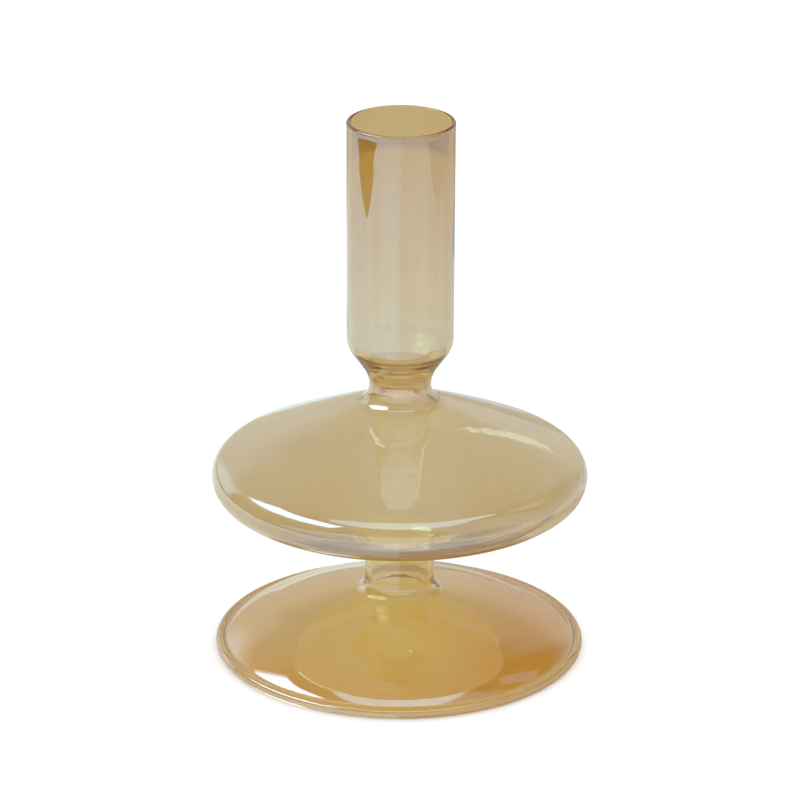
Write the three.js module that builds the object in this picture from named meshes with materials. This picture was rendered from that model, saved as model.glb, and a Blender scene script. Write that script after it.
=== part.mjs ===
// Free-standing candlestick of thin blown glass, in millimetres, with +Z up.
// The origin is the centre of the ring that the foot rests on.
//
// The object is worked in the flame from five glass sections: a candle cup drawn from tube, a waisted
// neck, a flattened bulb, a stem and a domed foot. Each is a hollow body of revolution with a wall of
// its own, and each meets the next on a shared end face, where the glass is fused.
import * as THREE from 'three';

// Driving dimensions
const totalHeight = 150;
const facetsRound = 40;

const cupRadius = 14.4;
const lipRadius = 0.62;
const lipCentreRadius = 13.85;
const lipDepth = 1.5;
const cupWall = 1.15;
const bulbWall = 0.8;
const stemWall = 1.5;
const footWall = 1.5;
const footEdgeWall = 1.3;

// A station is a point on the outer surface: its radius and height, the way the surface runs on from
// it (degrees, 0 is outwards and -90 is down), and the thickness of the wall there.
const cupTop = { radius: cupRadius, z: totalHeight - lipDepth, heading: -90, wall: cupWall };
const shoulder = { radius: cupRadius, z: 90, heading: -90, wall: cupWall };
const underShoulder = { radius: 13.25, z: 85.7, heading: -125, wall: cupWall };

const cupSeam = { radius: 10.1, z: 81.2, heading: -125, wall: 1.6 };
const waist = { radius: 8.42, z: 76, heading: -90, wall: 1.9 };
const bulbTopSeam = { radius: 11.9, z: 70.9, heading: -22, wall: 1.5 };

const aboveTurn = { radius: 47.4, z: 55.5, heading: -25, wall: bulbWall };
const equator = { radius: 51, z: 50, heading: -90, wall: bulbWall };
const belowTurn = { radius: 46.95, z: 44.33, heading: -161, wall: bulbWall };
const bulbUnderSeam = { radius: 13, z: 32, heading: -159, wall: 1.5 };

const stemTop = { radius: 9.45, z: 27.6, heading: -90, wall: stemWall };
const stemFoot = { radius: 9.45, z: 19.6, heading: -90, wall: stemWall };
const footTopSeam = { radius: 12.6, z: 15.6, heading: -14, wall: 1.7 };
const domeSlope = { radius: 36.24, z: 8.65, heading: -25, wall: footWall };
const domeEdge = { radius: 47.95, z: 1.98, heading: -44, wall: footEdgeWall };

const beadRadius = 1.23;
const beadCentreRadius = 49.1;
const restWidth = 1;

// Where the bead's round starts and ends, outside from the rest to the dome and inside from the rest
// up to the hollow (degrees, 0 is outwards and 90 is up)
const beadOutside = { from: -66, to: 125 };
const beadInside = { from: -165, to: -114 };

function pointOf({ radius, z }) {
  return new THREE.Vector2(radius, z);
}

function direction(degrees) {
  const angle = THREE.MathUtils.degToRad(degrees);
  return new THREE.Vector2(Math.cos(angle), Math.sin(angle));
}

// The curve between two stations. It leaves and arrives along their headings, and is very nearly a
// circular arc where one fits.
function bend(from, to) {
  const turn = THREE.MathUtils.degToRad(to.heading - from.heading);
  const reach = pointOf(from).distanceTo(pointOf(to)) / (3 * Math.cos(turn / 4) ** 2);
  const leaving = pointOf(from).addScaledVector(direction(from.heading), reach);
  const arriving = pointOf(to).addScaledVector(direction(to.heading), -reach);
  return new THREE.CubicBezierCurve(pointOf(from), leaving, arriving, pointOf(to));
}

// The outer surface through a list of stations, and the inner surface one wall thickness behind it.
// stepsPerBend holds how many straight pieces stand for each bend.
function skins(stations, stepsPerBend) {
  const outer = [];
  const inner = [];
  stepsPerBend.forEach((steps, index) => {
    const from = stations[index];
    const to = stations[index + 1];
    const curve = bend(from, to);
    const first = index === 0 ? 0 : 1;
    for (let step = first; step <= steps; step += 1) {
      const t = step / steps;
      const ahead = curve.getTangent(t);
      const wall = THREE.MathUtils.lerp(from.wall, to.wall, t);
      const point = curve.getPoint(t);
      outer.push(point);
      inner.push(new THREE.Vector2(point.x + ahead.y * wall, point.y - ahead.x * wall));
    }
  });
  return { outer, inner };
}

function arc(centreRadius, centreZ, radius, fromDegrees, toDegrees, steps) {
  const points = [];
  for (let step = 0; step <= steps; step += 1) {
    const way = direction(THREE.MathUtils.lerp(fromDegrees, toDegrees, step / steps));
    points.push(new THREE.Vector2(centreRadius, centreZ).addScaledVector(way, radius));
  }
  return points;
}

// Amber lustre glass. The shade deepens where the wall is thicker.
function amberGlass(colour) {
  return new THREE.MeshStandardMaterial({
    color: colour,
    roughness: 0.04,
    metalness: 0,
    transparent: true,
    opacity: 0.45,
  });
}

// One body of revolution from an outline that runs up the outside and down the inside.
function turned(name, outline, material) {
  const closed = [...outline, outline[0].clone()];
  const geometry = new THREE.LatheGeometry(closed, facetsRound);
  geometry.rotateX(Math.PI / 2);
  const mesh = new THREE.Mesh(geometry, material);
  mesh.name = name;
  return mesh;
}

function wallOf({ outer, inner }) {
  return [...outer].reverse().concat(inner);
}

// Straight tube with a fire-polished lip, drawn in below to the seam with the neck.
function candleCup() {
  const lipZ = totalHeight - lipRadius;
  const { outer, inner } = skins([cupTop, shoulder, underShoulder, cupSeam], [1, 4, 2]);
  const lip = arc(lipCentreRadius, lipZ, lipRadius, 0, 180, 6);
  return turned('candle_cup', [...outer.reverse(), ...lip, ...inner], amberGlass('#c4ad86'));
}

// Hourglass neck, thicker than the tube because the glass gathers where it is drawn in.
function upperNeck() {
  const neck = skins([cupSeam, waist, bulbTopSeam], [4, 6]);
  return turned('upper_neck', wallOf(neck), amberGlass('#bc9c62'));
}

// Flattened hollow bulb: two shallow cones joined by a tight round edge, open into neck and stem.
function bulb() {
  const shell = skins([bulbTopSeam, aboveTurn, equator, belowTurn, bulbUnderSeam], [4, 5, 5, 3]);
  return turned('bulb', wallOf(shell), amberGlass('#c1ac81'));
}

// Short tube that opens out at both ends, up into the bulb and down into the foot.
function stem() {
  const tube = skins([bulbUnderSeam, stemTop, stemFoot, footTopSeam], [4, 1, 4]);
  return turned('stem', wallOf(tube), amberGlass('#c5ae79'));
}

// Single-walled dome, open underneath, that steepens to a thick rounded bead at its edge.
function foot() {
  const dome = skins([footTopSeam, domeSlope, domeEdge], [4, 5]);
  const bead = arc(beadCentreRadius, beadRadius, beadRadius, beadOutside.from, beadOutside.to, 8);
  const insideBead = arc(beadCentreRadius, beadRadius, beadRadius, beadInside.from, beadInside.to, 3);
  const rest = [
    new THREE.Vector2(beadCentreRadius - restWidth / 2, 0),
    new THREE.Vector2(beadCentreRadius + restWidth / 2, 0),
  ];
  const upTheOutside = [...rest, ...bead.slice(1), ...dome.outer.slice(0, -1).reverse()];
  const downTheInside = [...dome.inner.slice(0, -1), ...insideBead.slice(0, -1)];
  return turned('foot', [...upTheOutside, ...downTheInside], amberGlass('#bf9b5b'));
}

const candlestick = new THREE.Group();
candlestick.add(candleCup(), upperNeck(), bulb(), stem(), foot());

export default candlestick;
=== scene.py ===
"""Looks of the amber lustre glass candlestick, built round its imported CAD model. Metres, +Z up."""

import math

import bpy
import numpy as np
from mathutils import Euler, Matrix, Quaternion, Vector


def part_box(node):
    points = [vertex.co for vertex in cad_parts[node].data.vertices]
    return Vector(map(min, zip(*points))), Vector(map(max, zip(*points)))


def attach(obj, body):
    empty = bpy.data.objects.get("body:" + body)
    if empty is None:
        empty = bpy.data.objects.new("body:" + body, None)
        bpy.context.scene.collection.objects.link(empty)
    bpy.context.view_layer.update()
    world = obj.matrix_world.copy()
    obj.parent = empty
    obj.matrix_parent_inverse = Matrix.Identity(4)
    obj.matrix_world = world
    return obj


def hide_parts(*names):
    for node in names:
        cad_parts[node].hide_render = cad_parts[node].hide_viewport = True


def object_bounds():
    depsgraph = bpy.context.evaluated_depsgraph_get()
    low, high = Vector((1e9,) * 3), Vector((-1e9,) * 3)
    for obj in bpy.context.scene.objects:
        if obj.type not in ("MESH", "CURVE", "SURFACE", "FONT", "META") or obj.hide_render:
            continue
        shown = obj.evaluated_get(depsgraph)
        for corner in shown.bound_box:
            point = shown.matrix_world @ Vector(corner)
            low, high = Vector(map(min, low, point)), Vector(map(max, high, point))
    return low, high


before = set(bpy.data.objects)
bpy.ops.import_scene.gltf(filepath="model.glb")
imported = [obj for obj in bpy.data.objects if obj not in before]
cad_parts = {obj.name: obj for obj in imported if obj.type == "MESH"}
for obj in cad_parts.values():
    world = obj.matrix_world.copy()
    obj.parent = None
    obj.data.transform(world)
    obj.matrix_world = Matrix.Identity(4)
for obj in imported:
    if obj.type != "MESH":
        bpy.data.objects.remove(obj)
cad_low, cad_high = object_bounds()

MM = 0.001


# ------------------------------------------------------------ sizes

# The height, the bulb's width and the places of the seams come from the frame.

def half_width(node):
    low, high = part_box(node)
    return (high.x - low.x) / 2


def lowest(node):
    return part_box(node)[0].z


def highest(node):
    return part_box(node)[1].z


TOTAL_HEIGHT = cad_high.z

CUP_RADIUS = 14.4 * MM
CUP_WALL = 1.15 * MM
LIP_RADIUS = 0.62 * MM
LIP_CENTRE = (13.85 * MM, TOTAL_HEIGHT - LIP_RADIUS)
LIP_DEPTH = 1.5 * MM
SHOULDER_TOP = 90 * MM

BULB_RADIUS = half_width("bulb")
BULB_WALL = 0.7 * MM
BULB_EQUATOR = 50 * MM

STEM_RADIUS = 9.45 * MM
STEM_WALL = 1.5 * MM

FOOT_WALL = 1.5 * MM
BEAD_RADIUS = 1.23 * MM
BEAD_CENTRE = (49.1 * MM, BEAD_RADIUS)
REST_HALF_WIDTH = 0.5 * MM

# A station is a point of the outer surface: its radius and height, the way the surface runs on from it
# (degrees, 0 is outwards and -90 is down), and how thick the wall is there.
CUP_SEAM = (10.1 * MM, lowest("candle_cup"), -125, 1.6 * MM)
WAIST = (8.42 * MM, 76 * MM, -90, 1.9 * MM)
BULB_TOP_SEAM = (half_width("upper_neck"), highest("bulb"), -22, 1.5 * MM)
BULB_UNDER_SEAM = (half_width("stem"), lowest("bulb"), -159, 1.5 * MM)
FOOT_TOP_SEAM = (12.6 * MM, highest("foot"), -14, 1.7 * MM)
DOME_EDGE = (47.95 * MM, 1.98 * MM, -44, 1.3 * MM)

STATIONS = [
    (CUP_RADIUS, TOTAL_HEIGHT - LIP_DEPTH, -90, CUP_WALL),
    (CUP_RADIUS, SHOULDER_TOP, -90, CUP_WALL),
    (13.25 * MM, 85.7 * MM, -125, CUP_WALL),
    CUP_SEAM,
    WAIST,
    BULB_TOP_SEAM,
    (47.4 * MM, 55.5 * MM, -25, BULB_WALL),
    (BULB_RADIUS, BULB_EQUATOR, -90, BULB_WALL),
    (46.95 * MM, 44.33 * MM, -161, BULB_WALL),
    BULB_UNDER_SEAM,
    (STEM_RADIUS, 27.6 * MM, -90, STEM_WALL),
    (STEM_RADIUS, 19.6 * MM, -90, STEM_WALL),
    FOOT_TOP_SEAM,
    (36.24 * MM, 8.65 * MM, -25, FOOT_WALL),
    DOME_EDGE,
]
SEAMS = [CUP_SEAM, BULB_TOP_SEAM, BULB_UNDER_SEAM, FOOT_TOP_SEAM]

STEPS_ROUND = 216
OUTLINE_STEP = 0.45 * MM

# The bead's outer arc runs from the dome's edge round to the resting ring, and its hollow arc from there to
# the inside of the dome. Degrees, as in the stations.
LIP_STEPS = 25
BEAD_ARC = (125, -66)
BEAD_STEPS = 41
HOLLOW_ARC = (-114, -165)
HOLLOW_STEPS = 13

TAU = 2 * math.pi
RING_PITCH = 3.5 * MM
RING_DEPTH = 0.004 * MM
RIPPLE_PITCH = 2.6 * MM
RIPPLE_DEPTH = 0.028 * MM
TOOL_PITCH = 1.9 * MM
TOOL_DEPTH = 0.014 * MM
WAVE_DEPTH = 0.02 * MM
WAVE_LENGTH = 60 * MM
SHORT_WAVE_LENGTH = 38 * MM

# Where the relief lies, by radius or by height: from, to, and the width in which it fades out beyond them.
RING_RADII = (16 * MM, 44 * MM, 4 * MM)
RING_HEIGHTS = (BULB_EQUATOR + 5 * MM, highest("bulb") - 1 * MM, 3 * MM)
RIPPLE_RADII = (44 * MM, 52 * MM, 3 * MM)
RIPPLE_HEIGHTS_UNDER = (40 * MM, BULB_EQUATOR, 2 * MM)
RIPPLE_HEIGHTS_ABOVE = (BULB_EQUATOR, 57 * MM, 2 * MM)
NECK_RADII = (0, 14 * MM, 2 * MM)
NECK_HEIGHTS = (70.4 * MM, 87 * MM, 1.5 * MM)
STEM_RADII = (0, 12 * MM, 3 * MM)
STEM_HEIGHTS = (15 * MM, 31 * MM, 2 * MM)
WAVE_HEIGHTS = (10 * MM, 140 * MM, 8 * MM)


# ------------------------------------------------------------ colours and light (linear)

GLASS_IOR = 1.47
FILM_IOR = 2.3
FILM_NM = 27.0
FOOT_FILM_NM = 31.0
FILM_SPREAD_NM = 7.0

# the coat's unevenness: soft clouds, and fine streaks drawn out along the axis
CLOUD_SCALE = 26.0
CLOUD_SHARE = 0.5
STREAK_SCALE = 300.0
STREAK_SHARE = 0.3
STREAK_STRETCH = (1, 1, 0.04)
MEAN_UNEVENNESS = (CLOUD_SHARE + STREAK_SHARE) / 2

SMEAR_SCALE = 55.0
SMEAR_BAND = (0.45, 0.75)
SMEAR_ROUGHNESS = 0.035

# the bare inside of the wall
CORD_SCALE = 60.0
CORD_STRETCH = (0.5, 0.5, 2.0)
CORD_BAND = (0.3, 0.7)
CLEAR_TINT = (0.99, 0.98, 0.96)
CORD_TINT = (0.96, 0.95, 0.93)
DULL_SCALE = 180.0
DULL_BAND = (0.55, 0.8)
DULL_ROUGHNESS = 0.02

# the coat's tints. Each piece has one at its top and one at its foot.
CUP_TINT = ((0.41, 0.248, 0.042), (0.495, 0.42, 0.205))
NECK_TINT = ((0.385, 0.22, 0.052), (0.51, 0.41, 0.175))
BULB_TINT = ((0.565, 0.492, 0.268), (0.515, 0.40, 0.183))
STEM_TINT = ((0.545, 0.453, 0.135), (0.56, 0.453, 0.117))
FOOT_TINT = ((0.61, 0.45, 0.115), (0.605, 0.35, 0.048))

# Places where the colour is deeper or paler: painted shade on the back of the cup below its mouth and on the
# lower right of the foot, and a paler band at the foot's rim. Each band is where the tint begins and where it
# is all there.
# painted shade: the back of the cup below the mouth is darkened, so the inside seen through the mouth looks
# dark
MOUTH_PAINTED_SHADE = (0.195, 0.115, 0.026)
MOUTH_SHADE_HEIGHTS = (TOTAL_HEIGHT - 13 * MM, TOTAL_HEIGHT - 10 * MM)
MOUTH_SHADE_BACKWARDS = (-6 * MM, 6 * MM)
# painted shade: the lower right of the foot is darker and deeper amber
FOOT_RIGHT_PAINTED_SHADE = (0.56, 0.29, 0.03)
FOOT_SHADE_RIGHTWARDS = (0.0, 40 * MM)
FOOT_SHADE_HEIGHTS = (17 * MM, 8 * MM)
RIM_TINT = (0.60, 0.44, 0.15)
RIM_HEIGHTS = (3.2 * MM, 2.2 * MM)

# painted light: a faint amber glow given to the glass, which is no lamp
PAINTED_WALL_GLOW = (1.0, 0.42, 0.08)
PAINTED_WALL_GLOW_STRENGTH = 0.03

# The floor and the patches of sheen lie just under the foot, so that no two faces share a plane.
FAR = 20.0
FLOOR_LEVEL = -0.05 * MM
SHEEN_LEVEL = -0.02 * MM
FLOOR_COLOUR = (0.955, 0.955, 0.955)
FLOOR_GRAIN_COLOUR = tuple(0.995 * c for c in FLOOR_COLOUR)
FLOOR_GRAIN_SCALE = 4.0
FLOOR_ROUGHNESS = 0.9
STUDIO_LIGHT = (1.14, 1.14, 1.14)

# the lights of the room as the coat mirrors it
BEHIND_LOW = (0.55, 0.59, 0.61)
BEHIND_HIGH = (0.25, 0.30, 0.33)
LEFT_BOARD = (0.88, 1.10, 1.18)
LEFT_WALL = (0.15, 0.15, 0.14)
FRONT_WALL = (0.06, 0.13, 0.18)
FRONT_TABLE = (0.57, 0.67, 0.66)
RIGHT_LOW = (0.36, 0.41, 0.48)
RIGHT_WALL = (0.18, 0.28, 0.38)
RIGHT_CORNER = (0.06, 0.04, 0.05)
RIGHT_BOARD = (0.32, 0.32, 0.38)
OVERHEAD = (1.04, 1.37, 1.49)
WINDOW = (3.4, 4.1, 4.8)

# the lights of the room as they come through the glass
INNER_WALL = (0.63, 0.57, 0.50)
INNER_TOP = (0.60, 0.70, 0.86)
INNER_WINDOW = (4.0, 6.0, 8.0)

# Slanting edges in the room, each running from one azimuth and height to another. An azimuth is in degrees,
# 0 in front and 90 at the right, and a height is the sine of an elevation.
TABLE_EDGE = ((-100, -0.08), (-25, 0.47))
WINDOW_SILL = ((-122, 0.545), (-52, 0.707))
WINDOW_LINTEL = ((-130, 0.77), (-75, 0.866))
INNER_SILL_DROP = 0.08

# The edge of the bright ceiling is higher behind the object, and lower at the right.
CEILING_EDGE = 0.93
CEILING_RISE = 0.044
CEILING_DIP = -0.07

EDGE_SOFTNESS = 0.012
TABLE_EDGE_SOFTNESS = 0.03

# what the table reflects into the glass, patch by patch: a colour and the corners (x, y) of the patch
TABLE_SHEEN = {
    "sheen_near_left": ((0.66, 0.78, 0.82), [(-0.2, -0.1), (0, -0.1), (0, 0.1), (-0.2, 0.1)]),
    "sheen_near_right": ((0.38, 0.38, 0.40), [(0, -0.1), (0.2, -0.1), (0.2, 0.1), (0, 0.1)]),
    "sheen_outer_left": ((0.74, 0.94, 1.12), [(-0.37, -0.1), (-0.2, -0.1), (-0.2, 0.1), (-0.45, 0.1)]),
    "sheen_outer_right": ((0.66, 0.79, 0.88), [(0.2, -0.1), (0.39, -0.1), (0.4, 0.1), (0.2, 0.1)]),
    "sheen_front_left": ((0.88, 1.12, 1.22), [(-0.35, -1), (0, -1), (0, -0.1), (-0.37, -0.1)]),
    "sheen_front_right": ((0.80, 0.93, 0.96), [(0, -1), (0.39, -1), (0.39, -0.1), (0, -0.1)]),
    "sheen_behind_left": ((0.78, 0.97, 1.06), [(-0.45, 0.1), (0, 0.1), (0, 0.35), (-0.55, 0.35)]),
    "sheen_behind_right": ((0.56, 0.65, 0.74), [(0, 0.1), (0.4, 0.1), (0.42, 0.35), (0, 0.35)]),
    "sheen_far_front": ((0.80, 0.93, 0.96), [(-FAR, -FAR), (FAR, -FAR), (FAR, -1), (-FAR, -1)]),
    "sheen_far_left": ((0.60, 0.60, 0.53), [(-0.55, 0.35), (0, 0.35), (0, FAR), (-8, FAR)]),
    "sheen_far_right": ((0.44, 0.42, 0.37), [(0, 0.35), (0.42, 0.35), (1.8, FAR), (0, FAR)]),
    "dark_beyond_left": (
        (0.02, 0.02, 0.02),
        [(-FAR, -1), (-0.35, -1), (-0.37, -0.1), (-0.45, 0.1), (-0.55, 0.35), (-8, FAR), (-FAR, FAR)],
    ),
    "dim_beyond_right": (
        (0.47, 0.62, 0.70),
        [(0.39, -1), (FAR, -1), (FAR, FAR), (1.8, FAR), (0.42, 0.35), (0.4, 0.1), (0.39, -0.1)],
    ),
}

# the camera: millimetres, metres and radians
SENSOR_MM = 36
LENS_MM = 185.82
EYE_DISTANCE = 1.03601
EYE_HEIGHT = 0.47868
EYE_PITCH = 0.374708
EYE_ROLL = 0.0042


# ------------------------------------------------------------ outline

def direction(degrees):
    angle = np.radians(degrees)
    return np.stack([np.cos(angle), np.sin(angle)], axis=-1)


def bend(start, end):
    """The outer surface and the inner surface between two stations, as two rows of (radius, height)."""
    a, b = np.array(start[:2]), np.array(end[:2])
    length = np.linalg.norm(b - a)
    turn = math.radians(end[2] - start[2])
    reach = length / (3 * math.cos(turn / 4) ** 2)
    leaving = a + direction(start[2]) * reach
    arriving = b - direction(end[2]) * reach
    t = np.linspace(0, 1, max(9, round(length / OUTLINE_STEP)))[:, None]
    u = 1 - t
    outer = a * u**3 + 3 * leaving * u * u * t + 3 * arriving * u * t * t + b * t**3
    ahead = (leaving - a) * u * u + 2 * (arriving - leaving) * u * t + (b - arriving) * t * t
    ahead /= np.linalg.norm(ahead, axis=1)[:, None]
    wall = start[3] + (end[3] - start[3]) * t
    inner = outer + np.stack([ahead[:, 1], -ahead[:, 0]], axis=1) * wall
    return outer, inner


def arc(centre, radius, start, end, steps):
    return np.array(centre) + direction(np.linspace(start, end, steps)) * radius


def outline():
    """The whole section as one closed loop: from the foot's rim up the inside, over the lip and down the
    outside to the resting ring. Also says which of its points are seams, and where the coat lies."""
    outer, inner, seams = [], [], []
    for start, end in zip(STATIONS, STATIONS[1:]):
        if start in SEAMS:
            seams.append(sum(len(row) for row in outer) - 1)
        first = 1 if outer else 0
        skin, behind = bend(start, end)
        outer.append(skin[first:])
        inner.append(behind[first:])
    outer, inner = np.concatenate(outer)[:-1], np.concatenate(inner)
    lip = arc(LIP_CENTRE, LIP_RADIUS, 180, 0, LIP_STEPS)
    bead = arc(BEAD_CENTRE, BEAD_RADIUS, *BEAD_ARC, BEAD_STEPS)
    rest = [(BEAD_CENTRE[0] + REST_HALF_WIDTH, 0), (BEAD_CENTRE[0] - REST_HALF_WIDTH, 0)]
    hollow_side = arc(BEAD_CENTRE, BEAD_RADIUS, *HOLLOW_ARC, HOLLOW_STEPS)
    points = np.concatenate([inner[::-1], lip, outer, bead, rest, hollow_side])
    top = len(inner) + len(lip)
    outer_seams = [top + at for at in seams]
    inner_seams = [len(inner) - 1 - at for at in seams]
    order = np.arange(len(points))
    coated = (order >= top - len(lip) // 2) & (order < top + len(outer) + len(bead) - 1)
    return points, outer_seams, inner_seams, coated


# ------------------------------------------------------------ hand-worked relief of the surfaces

def fade(value, low, high, width):
    """1 between low and high, running smoothly to 0 over width beyond them."""
    rise = np.clip((value - low) / width + 1, 0, 1)
    fall = np.clip((high - value) / width + 1, 0, 1)
    both = rise * fall
    return both * both * (3 - 2 * both)


def relief(radius, height, angle, inside):
    """How far each point of the surface lies under the true outline: 0 or less, in metres. Each pattern of
    waves is lowered by its own greatest height, so that none stands proud. Inside is 1 on the inner side of
    the wall and 0 on the outer side, so that the two sides differ."""
    wander = 0.6 * np.sin(angle + 0.4) + 0.4 * np.sin(2 * angle + 1.9)

    # rings left in the top of the bulb as it was turned in the flame
    turned = np.sin(radius * TAU / RING_PITCH + wander + 1.3 * inside)
    turned = turned + 0.5 * np.sin(radius * TAU / (1.7 * RING_PITCH) - 2 * wander + 0.8)
    rings = RING_DEPTH * fade(height, *RING_HEIGHTS) * fade(radius, *RING_RADII) * (turned - 1.5)

    # ripples in the turn of the bulb, deepest at the right: all round below the equator, at the back above it
    ripple = np.sin((radius - height) * TAU / RIPPLE_PITCH + 2.2 * np.sin(7 * angle) + wander)
    under = fade(height, *RIPPLE_HEIGHTS_UNDER)
    above = fade(height, *RIPPLE_HEIGHTS_ABOVE) * np.clip(2 * np.sin(angle), 0, 1)
    in_turn = np.maximum(under, above) * fade(radius, *RIPPLE_RADII)
    at_right = 0.5 + 0.5 * np.cos(angle)
    ripples = RIPPLE_DEPTH * in_turn * at_right * (ripple - 1)

    # tool marks where the neck and the stem were drawn in
    groove = np.sin(height * TAU / TOOL_PITCH + 0.5 * np.sin(angle))
    groove = groove + 0.7 * np.sin(height * TAU / (2.3 * TOOL_PITCH) + 0.8 * np.sin(angle + 2) + inside)
    on_neck = fade(height, *NECK_HEIGHTS) * fade(radius, *NECK_RADII)
    on_stem = fade(height, *STEM_HEIGHTS) * fade(radius, *STEM_RADII)
    tools = TOOL_DEPTH * (on_neck + 0.4 * on_stem) * (groove - 1.7)

    # slow waviness of the drawn tube and the blown wall
    wave = np.sin(2 * angle + height * TAU / WAVE_LENGTH)
    wave = wave + 0.6 * np.sin(3 * angle - height * TAU / SHORT_WAVE_LENGTH + 1)
    slow = WAVE_DEPTH * (wave - 1.6) * fade(height, *WAVE_HEIGHTS)
    return rings + ripples + tools + slow


# ------------------------------------------------------------ glass pieces

COATED, BARE, JOINT = range(3)


def turned_surface(points, coated):
    """The section turned round the axis: ring after ring of positions and of their normals."""
    along = np.roll(points, -1, axis=0) - np.roll(points, 1, axis=0)
    along /= np.linalg.norm(along, axis=1)[:, None]
    out_radius, out_height = -along[:, 1:], along[:, :1]
    angle = np.linspace(0, TAU, STEPS_ROUND, endpoint=False)[None, :]
    radius, height = points[:, :1], points[:, 1:]
    sunk = relief(radius, height, angle, 1.0 - coated[:, None])
    r = radius + out_radius * sunk
    z = height + out_height * sunk
    position = np.stack([r * np.cos(angle), r * np.sin(angle), z], axis=-1)
    down = np.roll(position, -1, axis=0) - np.roll(position, 1, axis=0)
    around = np.roll(position, -1, axis=1) - np.roll(position, 1, axis=1)
    normal = np.cross(down, around)
    normal /= np.linalg.norm(normal, axis=2)[:, :, None]
    return position, normal


def glass_piece(name, runs):
    """A closed piece made of runs of rings of the whole body. A joint face closes each gap between runs."""
    rings = np.concatenate(runs)
    run_ends = set(np.cumsum([len(run) for run in runs]) - 1)
    corner = np.arange(STEPS_ROUND)
    beside = (corner + 1) % STEPS_ROUND
    faces, slots, normals = [], [], []
    for i, ring in enumerate(rings):
        j = (i + 1) % len(rings)
        here, there = i * STEPS_ROUND, j * STEPS_ROUND
        faces.append(np.stack([here + corner, there + corner, there + beside, here + beside], axis=1))
        if i in run_ends:
            edge = POSITION[ring]
            flat = np.cross(POSITION[rings[j]] - edge, edge[beside] - edge)
            flat /= np.linalg.norm(flat, axis=1)[:, None]
            slots += [JOINT] * STEPS_ROUND
            normals.append(np.stack([flat] * 4, axis=1))
        else:
            slots += [COATED if COAT[ring] else BARE] * STEPS_ROUND
            upper, lower = NORMAL[ring], NORMAL[rings[j]]
            normals.append(np.stack([upper, lower, lower[beside], upper[beside]], axis=1))
    mesh = bpy.data.meshes.new(name)
    mesh.from_pydata(POSITION[rings].reshape(-1, 3).tolist(), [], np.concatenate(faces).tolist())
    mesh.polygons.foreach_set("material_index", slots)
    mesh.polygons.foreach_set("use_smooth", [True] * len(slots))
    mesh.normals_split_custom_set(np.concatenate(normals).reshape(-1, 3).tolist())
    piece = bpy.data.objects.new(name, mesh)
    bpy.context.scene.collection.objects.link(piece)
    return piece


def span(start, end):
    return np.arange(start, end + 1)


# ------------------------------------------------------------ nodes

def node(tree, kind, inputs=None, **settings):
    made = tree.nodes.new(kind)
    for key, value in settings.items():
        setattr(made, key, value)
    for key, value in (inputs or {}).items():
        if isinstance(value, bpy.types.NodeSocket):
            tree.links.new(value, made.inputs[key])
        else:
            made.inputs[key].default_value = value
    return made


def calc(tree, operation, *values):
    inputs = dict(enumerate(values))
    return node(tree, "ShaderNodeMath", inputs, operation=operation).outputs[0]


def ramp(tree, value, start, end, low=0.0, high=1.0):
    """Runs smoothly from low, where value is start, to high, where it is end."""
    inputs = {"Value": value, "From Min": start, "From Max": end, "To Min": low, "To Max": high}
    made = node(tree, "ShaderNodeMapRange", inputs, interpolation_type="SMOOTHSTEP")
    return made.outputs["Result"]


def product(tree, *shares):
    """All the shares multiplied together."""
    result = shares[0]
    for share in shares[1:]:
        result = calc(tree, "MULTIPLY", result, share)
    return result


def blend(tree, share, first, second):
    """A mix of two colours, by share of the second."""
    made = node(tree, "ShaderNodeMix", data_type="RGBA")
    for index, value in ((0, share), (6, first), (7, second)):
        if isinstance(value, bpy.types.NodeSocket):
            tree.links.new(value, made.inputs[index])
        elif index == 0:
            made.inputs[index].default_value = value
        else:
            made.inputs[index].default_value = (*value, 1)
    return made.outputs[2]


def noise(tree, where, scale, detail=2.0, stretch=(1, 1, 1)):
    placed = node(tree, "ShaderNodeMapping", {"Vector": where, "Scale": stretch})
    inputs = {"Vector": placed.outputs["Vector"], "Scale": scale, "Detail": detail}
    return node(tree, "ShaderNodeTexNoise", inputs).outputs["Fac"]


# ------------------------------------------------------------ materials

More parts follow.
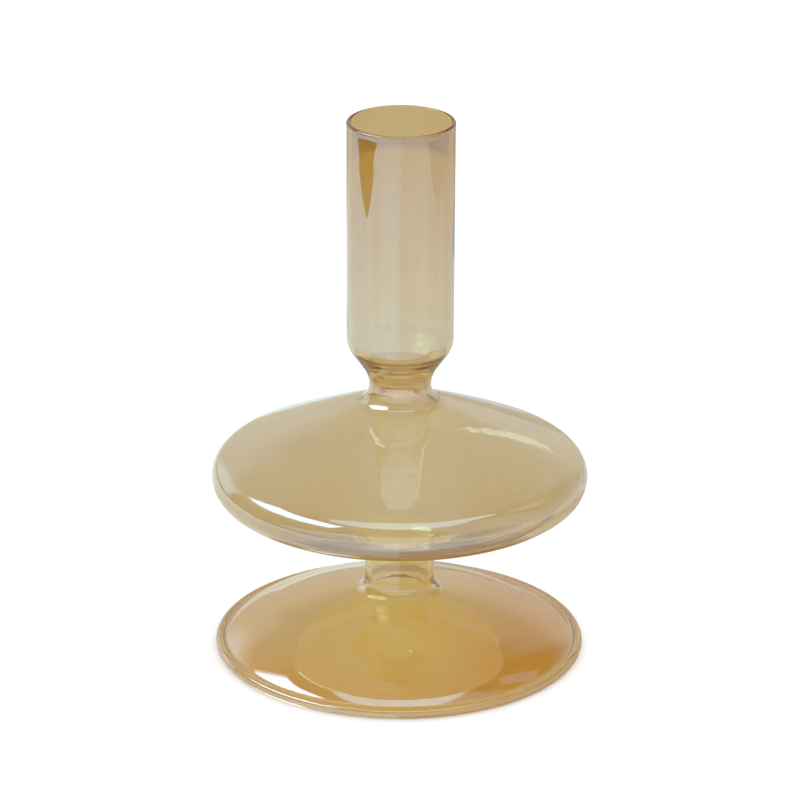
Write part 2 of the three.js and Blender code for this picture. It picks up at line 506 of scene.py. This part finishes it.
def lustre_glass(name, cad_node, upper, lower):
    """Amber lustre: clear glass under a metal-oxide film, laid on unevenly between two tints, with painted
    shade on the back of the cup below its mouth and on the lower right of the foot.
    The faint glow is painted light: an amber emission that stands in for the light the wall carries sideways,
    and shows where the wall is seen edge on."""
    made = bpy.data.materials.new(name)
    made.use_nodes = True
    tree = made.node_tree
    shader = tree.nodes["Principled BSDF"]
    where = node(tree, "ShaderNodeTexCoord").outputs["Object"]
    rightwards, backwards, height = node(tree, "ShaderNodeSeparateXYZ", {0: where}).outputs[:3]
    cloud = calc(tree, "MULTIPLY", noise(tree, where, CLOUD_SCALE, detail=3.0), CLOUD_SHARE)
    streak = noise(tree, where, STREAK_SCALE, stretch=STREAK_STRETCH)
    uneven = calc(tree, "MULTIPLY_ADD", streak, STREAK_SHARE, cloud)
    varied = calc(tree, "SUBTRACT", uneven, MEAN_UNEVENNESS)

    drop = ramp(tree, height, highest(cad_node), lowest(cad_node))
    share = calc(tree, "MAXIMUM", calc(tree, "ADD", drop, varied), 0.0)
    colour = blend(tree, calc(tree, "MINIMUM", share, 1.0), upper, lower)
    if cad_node == "candle_cup":
        # painted shade: darken the back of the cup below its mouth
        painted_shade_at_mouth = product(tree, ramp(tree, height, *MOUTH_SHADE_HEIGHTS), ramp(tree, backwards, *MOUTH_SHADE_BACKWARDS))
        colour = blend(tree, painted_shade_at_mouth, colour, MOUTH_PAINTED_SHADE)
    if cad_node == "foot":
        # painted shade: darken the lower right of the foot
        at_right = product(tree, ramp(tree, rightwards, *FOOT_SHADE_RIGHTWARDS), ramp(tree, height, *FOOT_SHADE_HEIGHTS))
        colour = blend(tree, at_right, colour, FOOT_RIGHT_PAINTED_SHADE)
        colour = blend(tree, ramp(tree, height, *RIM_HEIGHTS), colour, RIM_TINT)
    tree.links.new(colour, shader.inputs["Base Color"])

    mean_film = FOOT_FILM_NM if cad_node == "foot" else FILM_NM
    film = calc(tree, "MULTIPLY_ADD", varied, 2 * FILM_SPREAD_NM, mean_film)
    tree.links.new(film, shader.inputs["Thin Film Thickness"])
    smear = ramp(tree, noise(tree, where, SMEAR_SCALE, detail=3.0), *SMEAR_BAND, 0.0, SMEAR_ROUGHNESS)
    tree.links.new(smear, shader.inputs["Roughness"])
    shader.inputs["Transmission Weight"].default_value = 1.0
    shader.inputs["IOR"].default_value = GLASS_IOR
    shader.inputs["Thin Film IOR"].default_value = FILM_IOR
    # painted light: the faint amber glow of the wall
    shader.inputs["Emission Color"].default_value = (*PAINTED_WALL_GLOW, 1)
    shader.inputs["Emission Strength"].default_value = PAINTED_WALL_GLOW_STRENGTH
    return made


def bare_glass():
    """The uncoated inside of the wall, with the faintest cords of the melt and dull patches."""
    made = bpy.data.materials.new("bare_inner_glass")
    made.use_nodes = True
    tree = made.node_tree
    shader = tree.nodes["Principled BSDF"]
    where = node(tree, "ShaderNodeTexCoord").outputs["Object"]
    cords = ramp(tree, noise(tree, where, CORD_SCALE, stretch=CORD_STRETCH), *CORD_BAND)
    tree.links.new(blend(tree, cords, CLEAR_TINT, CORD_TINT), shader.inputs["Base Color"])
    dull = ramp(tree, noise(tree, where, DULL_SCALE), *DULL_BAND, 0.0, DULL_ROUGHNESS)
    tree.links.new(dull, shader.inputs["Roughness"])
    shader.inputs["Transmission Weight"].default_value = 1.0
    shader.inputs["IOR"].default_value = GLASS_IOR
    return made


def fused_joint():
    """Where two pieces are melted together there is no surface to see."""
    made = bpy.data.materials.new("fused_joint")
    made.use_nodes = True
    tree = made.node_tree
    tree.nodes.remove(tree.nodes["Principled BSDF"])
    clear = node(tree, "ShaderNodeBsdfTransparent", {"Color": (1, 1, 1, 1)})
    tree.links.new(clear.outputs[0], tree.nodes["Material Output"].inputs["Surface"])
    return made


# ------------------------------------------------------------ floor, room and camera

def floor():
    """The pale table that the candlestick stands on."""
    mesh = bpy.data.meshes.new("floor")
    corners = [(x, y, FLOOR_LEVEL) for x, y in ((-FAR, -FAR), (FAR, -FAR), (FAR, FAR), (-FAR, FAR))]
    mesh.from_pydata(corners, [], [(0, 1, 2, 3)])
    made = bpy.data.materials.new("pale_table")
    made.use_nodes = True
    tree = made.node_tree
    shader = tree.nodes["Principled BSDF"]
    where = node(tree, "ShaderNodeTexCoord").outputs["Object"]
    grain = noise(tree, where, FLOOR_GRAIN_SCALE, detail=3.0)
    tree.links.new(blend(tree, grain, FLOOR_COLOUR, FLOOR_GRAIN_COLOUR), shader.inputs["Base Color"])
    shader.inputs["Roughness"].default_value = FLOOR_ROUGHNESS
    shader.inputs["Specular IOR Level"].default_value = 0.0
    mesh.materials.append(made)
    ground = bpy.data.objects.new("floor", mesh)
    bpy.context.scene.collection.objects.link(ground)


def table_sheen(name, colour, corners):
    """A patch of table as the coat mirrors it. Nothing else sees it, and light that has come through the
    glass passes it by."""
    mesh = bpy.data.meshes.new(name)
    mesh.from_pydata([(x, y, SHEEN_LEVEL) for x, y in corners], [], [range(len(corners))])
    made = bpy.data.materials.new(name)
    made.use_nodes = True
    tree = made.node_tree
    tree.nodes.remove(tree.nodes["Principled BSDF"])
    glow = node(tree, "ShaderNodeEmission", {"Color": (*colour, 1)}).outputs[0]
    clear = node(tree, "ShaderNodeBsdfTransparent").outputs[0]
    depth = node(tree, "ShaderNodeLightPath").outputs["Transmission Depth"]
    through = calc(tree, "MINIMUM", depth, 1.0)
    shown = node(tree, "ShaderNodeMixShader", {0: through, 1: glow, 2: clear})
    tree.links.new(shown.outputs[0], tree.nodes["Material Output"].inputs["Surface"])
    mesh.materials.append(made)
    patch = bpy.data.objects.new(name, mesh)
    bpy.context.scene.collection.objects.link(patch)
    patch.visible_camera = False
    patch.visible_diffuse = False
    patch.visible_transmission = False
    patch.visible_shadow = False


def room():
    """Even studio light for the camera and the floor. The glass sees a room with darker walls and a window
    instead: sharply in the mirror of its coat, and more softly and warmly from inside."""
    world = bpy.data.worlds.new("studio")
    bpy.context.scene.world = world
    world.use_nodes = True
    world.cycles.sampling_method = "NONE"
    tree = world.node_tree
    where = node(tree, "ShaderNodeTexCoord").outputs["Generated"]
    x, y, z = node(tree, "ShaderNodeSeparateXYZ", {0: where}).outputs[:3]
    azimuth = calc(tree, "DEGREES", calc(tree, "ARCTAN2", x, calc(tree, "MULTIPLY", y, -1.0)))

    def area(left=None, right=None, foot=None, top=None):
        """The share of an area of the room. Each side is a pair of azimuths or elevations in degrees: where
        the area begins, and where it is all there."""
        sides = [ramp(tree, azimuth, *side) for side in (left, right) if side]
        sines = [[math.sin(math.radians(angle)) for angle in side] for side in (foot, top) if side]
        return product(tree, *sides, *[ramp(tree, z, *pair) for pair in sines])

    def slant(start, end):
        """The height of an edge that runs from one azimuth and height to another."""
        return ramp(tree, azimuth, start[0], end[0], start[1], end[1])

    def over(edge, soft=EDGE_SOFTNESS):
        """1 above the edge and 0 below it."""
        return ramp(tree, calc(tree, "SUBTRACT", z, edge), -soft, soft)

    def under(edge, soft=EDGE_SOFTNESS):
        return calc(tree, "SUBTRACT", 1.0, over(edge, soft))

    left_wall = area(left=(-125, -119), right=(-42, -48))
    left_slope = area(left=(-172, -128), right=(-78, -122), foot=(36, 62))
    near_table = area(left=(-106, -94), right=(42, 30))
    panes = area(left=(-127, -116), right=(-49, -54))
    window_top = under(slant(*WINDOW_LINTEL))
    sill = slant(*WINDOW_SILL)
    inner_sill = calc(tree, "SUBTRACT", sill, INNER_SILL_DROP)
    rise = calc(tree, "ADD", area(right=(-105, -168)), area(left=(134, 152)))
    raised = calc(tree, "MULTIPLY_ADD", rise, CEILING_RISE, CEILING_EDGE)
    dip = area(left=(100, 134), right=(146, 134))
    ceiling_edge = calc(tree, "MULTIPLY_ADD", dip, CEILING_DIP, raised)

    # from the back of the pile to the front: each light covers those before it
    mirrored = [
        (area(foot=(14, 33)), BEHIND_HIGH),
        (area(left=(-160, -146), right=(-117, -125), top=(36, 16)), LEFT_BOARD),
        (calc(tree, "MAXIMUM", left_wall, left_slope), LEFT_WALL),
        (area(left=(-55, -45), right=(37, 27)), FRONT_WALL),
        (area(left=(27, 37), right=(153, 143)), RIGHT_WALL),
        (area(left=(27, 37), right=(153, 143), top=(14, 6)), RIGHT_LOW),
        (area(left=(94, 104), right=(151, 141), foot=(14, 34)), RIGHT_CORNER),
        (area(left=(110.5, 113.5), right=(129.5, 126.5), foot=(36, 38), top=(56, 54)), RIGHT_BOARD),
        (product(tree, under(slant(*TABLE_EDGE), TABLE_EDGE_SOFTNESS), near_table), FRONT_TABLE),
        (over(ceiling_edge), OVERHEAD),
        (product(tree, panes, window_top, over(sill)), WINDOW),
    ]
    inside = [
        (area(foot=(50, 65)), INNER_TOP),
        (product(tree, panes, window_top, over(inner_sill)), INNER_WINDOW),
    ]
    outer, inner = BEHIND_LOW, INNER_WALL
    for share, light in mirrored:
        outer = blend(tree, share, outer, light)
    for share, light in inside:
        inner = blend(tree, share, inner, light)

    path = node(tree, "ShaderNodeLightPath")
    through = calc(tree, "MINIMUM", path.outputs["Transmission Depth"], 1.0)
    plain = calc(tree, "MAXIMUM", path.outputs["Is Camera Ray"], path.outputs["Diffuse Depth"])
    seen = blend(tree, through, outer, inner)
    colour = blend(tree, calc(tree, "MINIMUM", plain, 1.0), seen, STUDIO_LIGHT)
    tree.links.new(colour, tree.nodes["Background"].inputs["Color"])


def camera():
    """The camera, in front of the candlestick and a little above it."""
    data = bpy.data.cameras.new("camera")
    data.sensor_width = SENSOR_MM
    data.lens = LENS_MM
    eye = bpy.data.objects.new("camera", data)
    eye.location = (0, -EYE_DISTANCE, EYE_HEIGHT)
    eye.rotation_mode = "QUATERNION"
    level = Euler((math.pi / 2 - EYE_PITCH, 0, 0)).to_quaternion()
    eye.rotation_quaternion = level @ Quaternion((0, 0, 1), EYE_ROLL)
    bpy.context.scene.collection.objects.link(eye)
    bpy.context.scene.camera = eye


# ------------------------------------------------------------ build

points, outer_seams, inner_seams, COAT = outline()
POSITION, NORMAL = turned_surface(points, COAT)

cup_out, bulb_out, stem_out, foot_out = outer_seams
cup_in, bulb_in, stem_in, foot_in = inner_seams
last = len(points) - 1

# The floor's shading takes in only the pieces close to it. The others would dim the floor far and wide.
SEEN_BY_FLOOR = ("stem", "foot")
bare = bare_glass()
joint = fused_joint()

# Each piece: its name, the CAD node it stands for, its slot, its runs of rings and its tints. The foot's run
# passes the end of the outline and goes on from its start.
foot_run = np.concatenate([span(foot_out, last), span(0, foot_in)])
PIECES = [
    ("cup_shell", "candle_cup", "cup_glass", [span(cup_in, cup_out)], CUP_TINT),
    ("neck_shell", "upper_neck", "neck_glass", [span(cup_out, bulb_out), span(bulb_in, cup_in)], NECK_TINT),
    ("bulb_shell", "bulb", "bulb_glass", [span(bulb_out, stem_out), span(stem_in, bulb_in)], BULB_TINT),
    ("stem_shell", "stem", "stem_glass", [span(stem_out, foot_out), span(foot_in, stem_in)], STEM_TINT),
    ("foot_shell", "foot", "foot_glass", [foot_run], FOOT_TINT),
]
for name, cad_node, slot, runs, (upper, lower) in PIECES:
    piece = glass_piece(name, runs)
    for material in (lustre_glass(cad_node + "_lustre", cad_node, upper, lower), bare, joint):
        piece.data.materials.append(material)
    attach(piece, "root")
    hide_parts(cad_node)
    piece.visible_diffuse = cad_node in SEEN_BY_FLOOR

floor()
for name, (colour, corners) in TABLE_SHEEN.items():
    table_sheen(name, colour, corners)
room()
camera()

scene = bpy.context.scene
scene.view_settings.view_transform = "Standard"
scene.cycles.max_bounces = 40
scene.cycles.transmission_bounces = 40
scene.cycles.glossy_bounces = 12
scene.cycles.diffuse_bounces = 3
scene.cycles.transparent_max_bounces = 32
scene.cycles.blur_glossy = 0.0
